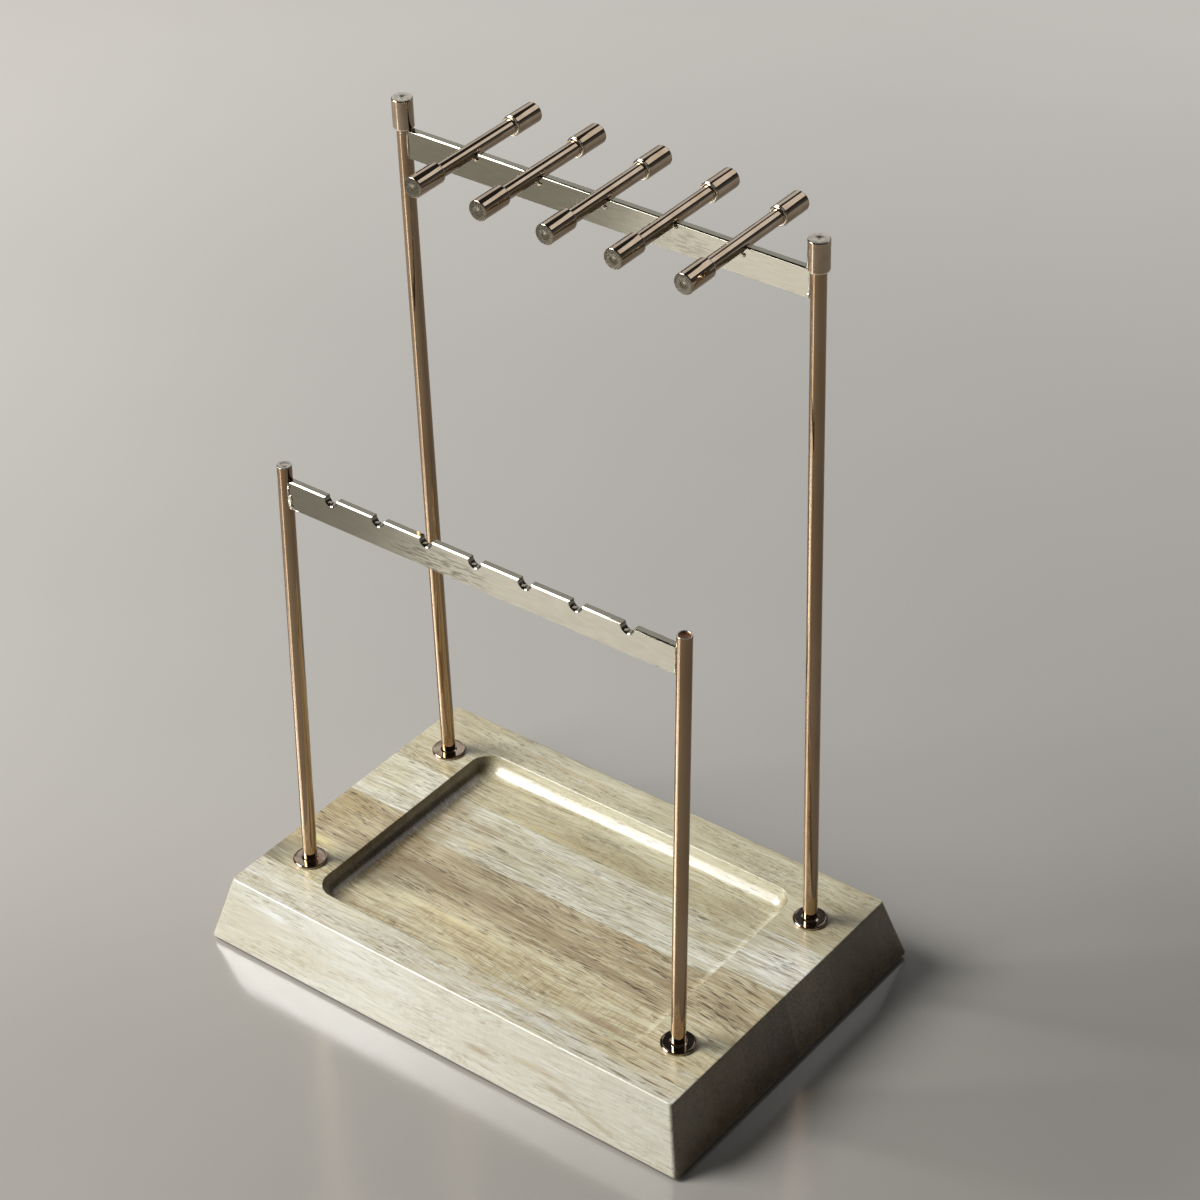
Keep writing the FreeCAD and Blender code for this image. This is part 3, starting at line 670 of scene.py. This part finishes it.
def makeBar(name, node, frameName, top, cuts, flared=False):
    bpy.ops.mesh.primitive_cube_add(
        size=1, location=(0, 0, (top - bar["height"] / 2) * mm),
        scale=(2 * board["postX"] * mm, bar["thickness"] * mm, bar["height"] * mm))
    piece = bpy.context.object
    piece.name = piece.data.name = name
    bpy.ops.object.transform_apply(location=True, scale=True)
    # both front arrises are ground off, the upper one flatter than the lower
    bpy.ops.object.mode_set(mode="EDIT")
    for end, edge, up in (("top", top, 1), ("low", top - bar["height"], -1)):
        back, rise = bar["arrises"][end]
        bpy.ops.mesh.select_all(action="SELECT")
        bpy.ops.mesh.bisect(plane_co=(0, (back - bar["thickness"] / 2) * mm, edge * mm),
                            plane_no=(0, -rise, up * back), use_fill=True, clear_outer=True)
    bpy.ops.object.mode_set(mode="OBJECT")
    for x, z, radius in cuts:
        carve(piece, x, z, radius, "Y")
        if flared:
            flare(piece, x, z, radius)
    for side in sides.values():
        carve(piece, side * board["postX"], top, post["radius"], "Z")
    applyModifier(piece, "BEVEL", width=bar["edge"] * mm, segments=3, limit_method="ANGLE",
                  angle_limit=math.radians(30))
    dress(piece, metal["bar"])
    smooth(piece, 40)
    settle(piece, frameMatrix(frameName))
    standFor(piece, node)


def spaced(outer, count):
    return [outer * (2 * index / (count - 1) - 1) for index in range(count)]


notchCentre = bar["notchedTop"] - bar["notchDepth"] + bar["notchRadius"]
notches = [(x, notchCentre, bar["notchRadius"]) for x in spaced(bar["outerNotch"], bar["notches"])]
seats = [(x, bar["rodTop"], post["radius"]) for x in spaced(bar["outerRod"], bar["rods"])]
makeBar("polished_notched_bar", "notched_bar", "front", bar["notchedTop"],
        notches + [bar["nick"]], flared=True)
makeBar("polished_rod_bar", "rod_bar", "rear", bar["rodTop"], seats)
print("bars made")


rod = {
    "radius": 2.5, "frontReach": 29.0, "rearReach": 31.0, "capLength": 12.0, "capEnd": 2.0,
    "fillet": [(0.0, -0.2), (0.16, 0.0), (0.05, 0.15), (0.0, 0.3)],    # swell, out of a cap's mouth
}
cap = {
    "radius": 3.5, "round": 0.37, "roundSteps": 5, "postCapLength": 10.5,
    # radius and height: a swollen collar in the pale braze finish, a painted highlight, between a
    # lip in the bore and the barrel
    "lip": (0.1, 0.2), "shoulder": 0.72,
    "collar": [(2.62, 0.05), (2.85, 0.0), (3.12, 0.03), (3.28, 0.13), (3.35, 0.32), (3.3, 0.46),
               (3.3, 0.56), (3.42, 0.6)],
    # radius and drop: a faced end with a small centre dimple
    "face": [(2.0, 0.0), (0.45, 0.0), (0.3, 0.08), (0.05, 0.12)],
    "bright": 0.5, "faceDepth": 0.4,
}


def makeCap(name, length, end):
    radius, ease, steps = cap["radius"], cap["round"], cap["roundSteps"]
    turns = [math.radians(90 * step / steps) for step in range(steps + 1)]
    edge = [(radius - ease * (1 - math.cos(turn)), length - ease * (1 - math.sin(turn)))
            for turn in turns]
    face = [(out, length - drop) for out, drop in cap["face"]]
    lipIn, lipUp = cap["lip"]
    collar = [(rod["radius"] - lipIn, lipUp)] + cap["collar"] + [(radius, cap["shoulder"])]
    piece = turned(name, collar + [(radius, length / 2)] + edge + face)
    dress(piece, metal["rod"], metal[end], metal["braze"])
    faceEnds(piece, length - cap["faceDepth"], 1, tilt=0.97)
    # the collar, below the bright height, takes the pale braze finish: a painted highlight
    for polygon in piece.data.polygons:
        if polygon.center.z < cap["bright"] * mm:
            polygon.material_index = 2
    smooth(piece)
    return piece


def makeRods():
    bore = rod["radius"]
    front = -rod["frontReach"] + rod["capLength"]        # mouths of the caps
    rear = rod["rearReach"] - rod["capLength"]
    # a thin braze fillet swells the rod where it enters each cap
    shaft = turned("rod", [
        (bore, -rod["frontReach"] + rod["capEnd"]),
        *[(bore + swell, front + out) for swell, out in rod["fillet"]],
        (bore, 0.0),
        *[(bore + swell, rear - out) for swell, out in reversed(rod["fillet"])],
        (bore, rod["rearReach"] - rod["capEnd"])])
    dress(shaft, metal["rod"])
    smooth(shaft, 60)
    rodCap = makeCap("rodCap", rod["capLength"], "faced")
    for index, x in enumerate(spaced(bar["outerRod"], bar["rods"]), start=1):
        piece = copyOf(shaft, f"polished_rod_{index}")
        settle(piece, frameMatrix("rear", x=x, z=bar["rodTop"], turn=-90))
        standFor(piece, f"cross_rod_{index}")
        for endName, mouth, turn in (("front", front, 90), ("rear", rear, -90)):
            piece = copyOf(rodCap, f"turned_rod_cap_{endName}_{index}")
            settle(piece, frameMatrix("rear", x=x, y=mouth, z=bar["rodTop"], turn=turn))
            standFor(piece, f"rod_{endName}_cap_{index}")
    for spare in (shaft, rodCap):
        bpy.data.objects.remove(spare)


def makePostCaps():
    postCap = makeCap("postCap", cap["postCapLength"], "cut")
    for sideName, side in sides.items():
        piece = copyOf(postCap, f"turned_post_cap_{sideName}")
        settle(piece, frameMatrix("rear", x=side * board["postX"], z=bar["rodTop"]))
        standFor(piece, f"post_cap_{sideName}")
    bpy.data.objects.remove(postCap)


makeRods()
makePostCaps()
print("rods and caps made")


# Braze left at the joints and plated over: small lumpy drops, and thin uneven fillets up the posts,
# dressed in the pale braze finish, a painted highlight.
braze = {"lumps": 0.22, "segments": 10, "rings": 9, "levels": 2}
beads = {     # place in the frame, half sizes, seed
    "front": [
        ((-76.4, -1.35, 150.4), (0.34, 0.36, 4.7), 3), ((-75.9, -1.35, 149.0), (1.0, 0.60, 1.5), 4),
        ((-75.6, -1.20, 146.3), (1.15, 0.75, 1.2), 5),
        ((-73.6, -0.95, 145.3), (2.4, 0.40, 0.22), 26),
        ((-76.2, -1.35, 153.2), (0.50, 0.40, 0.6), 27),
        ((76.4, -1.35, 150.2), (0.30, 0.34, 4.8), 6), ((-76.4, 1.35, 150.2), (0.36, 0.36, 4.6), 7),
        ((76.4, 1.35, 150.2), (0.36, 0.36, 4.6), 8),
    ],
    "rear": [
        ((-76.4, -1.35, 247.0), (0.34, 0.36, 4.6), 9),
        ((76.4, -1.35, 247.0), (0.32, 0.34, 4.7), 10),
        ((76.1, -1.20, 243.0), (0.70, 0.50, 0.80), 11),
        ((-76.4, 1.35, 247.0), (0.36, 0.36, 4.6), 12), ((76.4, 1.35, 247.0), (0.36, 0.36, 4.6), 13),
        ((-78.2, -2.42, 250.2), (0.34, 0.22, 0.85), 14),
        ((-48.4, -1.35, 250.2), (0.95, 0.65, 0.65), 15),
        ((-23.6, -1.30, 249.2), (1.05, 0.60, 0.60), 16),
        ((1.6, -1.30, 249.0), (1.0, 0.60, 0.75), 17),
        ((28.0, -1.35, 250.8), (0.90, 0.65, 0.80), 18),
        ((52.7, -1.30, 249.2), (1.05, 0.60, 0.65), 19),
        ((-53.2, -1.30, 250.6), (0.55, 0.50, 0.50), 20),
        ((-2.2, -1.30, 250.6), (0.55, 0.50, 0.50), 21),
        ((48.8, -1.30, 250.6), (0.55, 0.50, 0.50), 22),
        ((-25.0, 1.30, 249.3), (0.90, 0.50, 0.55), 23),
        ((26.4, 1.30, 249.3), (0.90, 0.50, 0.55), 24),
    ],
}


def makeBeads():
    placed = [(frameName, *bead) for frameName in beads for bead in beads[frameName]]
    for index, (frameName, place, half, seed) in enumerate(placed, start=1):
        bpy.ops.mesh.primitive_uv_sphere_add(segments=braze["segments"],
                                             ring_count=braze["rings"], radius=mm)
        piece = bpy.context.object
        piece.name = piece.data.name = f"braze_bead_{index}"
        bpy.ops.object.mode_set(mode="EDIT")
        bpy.ops.mesh.select_all(action="SELECT")
        bpy.ops.transform.vertex_random(offset=braze["lumps"] * mm, uniform=1.0, normal=0.0,
                                        seed=seed)
        bpy.ops.transform.resize(value=half, center_override=(0, 0, 0))
        bpy.ops.object.mode_set(mode="OBJECT")
        applyModifier(piece, "SUBSURF", levels=braze["levels"], render_levels=braze["levels"])
        dress(piece, metal["braze"])
        smooth(piece, 180)
        settle(piece, frameMatrix(frameName, *place))
        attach(piece, "root")


makeBeads()
print("braze beads made")


footPad = {"radius": 5.0, "thickness": 1.0, "round": 0.3, "x": 87.0, "y": 54.5}

# Moulded black rubber: matt, with the faint bloom and speckle of a rubber surface.
rubberLook = {
    "colour": "#2B2A29", "bloom": "#454341", "bloomScale": 300.0, "speckleScale": 2500.0,
    "roughness": (0.6, 0.85), "bump": 0.4, "relief": 0.00003,       # metres
}


def mouldedRubber():
    look = rubberLook
    material, tree = newMaterial("moulded_black_rubber")
    place = addNode(tree, "TexCoord").outputs["Object"]
    speckle, bloom = [
        addNode(tree, "TexNoise", {
            "Vector": place, "Scale": look[scale], "Detail": 3.0}).outputs["Fac"]
        for scale in ("speckleScale", "bloomScale")]
    colour = addNode(tree, "Mix", {0: bloom, 6: linear(look["colour"]), 7: linear(look["bloom"])},
                     data_type="RGBA").outputs[2]
    smoothest, roughest = look["roughness"]
    roughness = addNode(tree, "MapRange", {
        "Value": bloom, "To Min": smoothest, "To Max": roughest}).outputs[0]
    bump = addNode(tree, "Bump", {
        "Strength": look["bump"], "Distance": look["relief"], "Height": speckle}).outputs[0]
    shader = addNode(tree, "BsdfPrincipled", {
        "Base Color": colour, "Roughness": roughness, "Normal": bump})
    addNode(tree, "OutputMaterial", {"Surface": shader.outputs[0]})
    return material


def makeFootPads():
    radius, top, ease = footPad["radius"], footPad["thickness"], footPad["round"]
    pad = turned("pad", [(radius - ease, 0.0), (radius - ease * 0.3, ease * 0.3), (radius, ease),
                         (radius, top)])
    dress(pad, mouldedRubber())
    smooth(pad)
    for endName, end in (("front", -1), ("rear", 1)):
        for sideName, side in sides.items():
            piece = copyOf(pad, f"rubber_pad_{endName}_{sideName}")
            settle(piece, shifted(side * footPad["x"], end * footPad["y"], 0))
            standFor(piece, f"foot_pad_{endName}_{sideName}", slot="rubber_pad")
    bpy.data.objects.remove(pad)


makeFootPads()
print("foot pads made")


# The floor is a pale grey satin laminate: an even tone with a soft sheen under the object.
floorLook = {
    "size": 24.0, "colour": "#A39F98", "shade": "#9B9790", "mottleScale": 6.0,
    "roughness": 0.17, "ior": 2.15, "farGlow": (0.20, 1.10, 0.80),     # from, to (m), strength
}
# name: place, aim, size across and up, roll, power
lamps = {
    "key_softbox": ((-0.912, -0.550, 1.028), (0.0, 0.0, 0.04), (0.488, 0.75), 0.0, 26.2),
    "front_softbox": ((-0.590, -0.847, 0.580), (0.0, 0.0, 0.04), (0.29, 0.60), 26.0, 5.7),
    "wall_panel": ((-1.68, 2.07, 1.46), (0.0, 0.0, 0.10), (2.4, 1.25), 0.0, 7.8),
    "top_panel": ((0.29, 0.94, 1.12), (0.0, 0.0, 0.20), (0.9, 0.34), 0.0, 1.1),
}
# a dim room, darker overhead, with a pale band along the horizon: heights are the ray's rise
room = {
    "tint": (0.95, 0.97, 1.0, 1.0), "low": 0.15, "high": 0.03, "highFrom": 0.5,
    "horizon": 0.42, "horizonSpan": (0.05, 0.12),
}


def satinLaminate():
    look = floorLook
    material, tree = newMaterial("pale_satin_laminate")
    place = addNode(tree, "TexCoord").outputs["Object"]
    mottle = addNode(tree, "TexNoise", {
        "Vector": place, "Scale": look["mottleScale"], "Detail": 4.0}).outputs["Fac"]
    colour = addNode(tree, "Mix", {0: mottle, 6: linear(look["colour"]), 7: linear(look["shade"])},
                     data_type="RGBA").outputs[2]
    # past the reach of the lamps the floor keeps its own tone, for the eye and in reflections alone
    near, far, glow = look["farGlow"]
    away = addNode(tree, "VectorMath", {0: place}, operation="LENGTH").outputs["Value"]
    distant = addNode(tree, "MapRange", {
        "Value": away, "From Min": near, "From Max": far, "To Max": glow},
        interpolation_type="SMOOTHSTEP").outputs[0]
    ray = addNode(tree, "LightPath").outputs
    seen = addNode(tree, "Math", {0: ray["Is Camera Ray"], 1: ray["Is Glossy Ray"]},
                   operation="ADD").outputs[0]
    seen = addNode(tree, "Math", {0: seen, 1: ray["Is Transmission Ray"]},
                   operation="ADD", use_clamp=True).outputs[0]
    glowing = addNode(tree, "Math", {0: distant, 1: seen}, operation="MULTIPLY").outputs[0]
    shader = addNode(tree, "BsdfPrincipled", {
        "Base Color": colour, "Roughness": look["roughness"], "IOR": look["ior"],
        "Emission Color": colour, "Emission Strength": glowing})
    addNode(tree, "OutputMaterial", {"Surface": shader.outputs[0]})
    return material


def makeFloor():
    bpy.ops.mesh.primitive_plane_add(size=floorLook["size"])
    floor = bpy.context.object
    floor.name = floor.data.name = "floor"
    dress(floor, satinLaminate())


def makeLamps():
    for name, (place, aim, size, roll, power) in lamps.items():
        light = bpy.data.lights.new(name, "AREA")
        light.shape = "RECTANGLE"
        light.size, light.size_y = size
        light.energy = power
        lamp = bpy.data.objects.new(name, light)
        facing = (Vector(aim) - Vector(place)).to_track_quat("-Z", "Y").to_matrix().to_4x4()
        lamp.matrix_world = (Matrix.Translation(place) @ facing
                             @ Matrix.Rotation(math.radians(roll), 4, "Z"))
        lamp.visible_camera = False
        bpy.context.scene.collection.objects.link(lamp)


def makeRoom():
    world = bpy.data.worlds.new("studio_room")
    bpy.context.scene.world = world
    world.use_nodes = True
    tree = world.node_tree
    tree.nodes.clear()
    up = addNode(tree, "SeparateXYZ", {
        0: addNode(tree, "TexCoord").outputs["Generated"]}).outputs[2]
    level = addNode(tree, "MapRange", {
        "Value": up, "From Min": 0.0, "From Max": room["highFrom"],
        "To Min": room["low"], "To Max": room["high"]}).outputs[0]
    low, high = room["horizonSpan"]
    horizon = addNode(tree, "MapRange", {
        "Value": up, "From Min": low, "From Max": high,
        "To Min": room["horizon"], "To Max": 0.0}).outputs[0]
    level = addNode(tree, "Math", {0: level, 1: horizon}, operation="MAXIMUM").outputs[0]
    shader = addNode(tree, "Background", {"Color": room["tint"], "Strength": level})
    addNode(tree, "OutputWorld", {"Surface": shader.outputs[0]})


# metres, degrees and the lens in mm
camera = {
    "place": (0.52799, -0.65345, 0.73657), "heading": 37.78, "down": 35.112, "roll": -1.061,
    "lens": 96.32, "sensor": 36.0, "clip": 0.01,
}


def makeCamera():
    lens = bpy.data.cameras.new("camera")
    lens.lens = camera["lens"]
    lens.sensor_width = camera["sensor"]
    lens.clip_start = camera["clip"]
    eye = bpy.data.objects.new("camera", lens)
    turns = [(camera["heading"], "Z"), (90 - camera["down"], "X"), (camera["roll"], "Z")]
    matrix = Matrix.Translation(camera["place"])
    for angle, axis in turns:
        matrix = matrix @ Matrix.Rotation(math.radians(angle), 4, axis)
    eye.matrix_world = matrix
    bpy.context.scene.collection.objects.link(eye)
    bpy.context.scene.camera = eye


makeFloor()
makeLamps()
makeRoom()
makeCamera()
bpy.context.scene.view_settings.view_transform = "Standard"
print("studio and camera set")
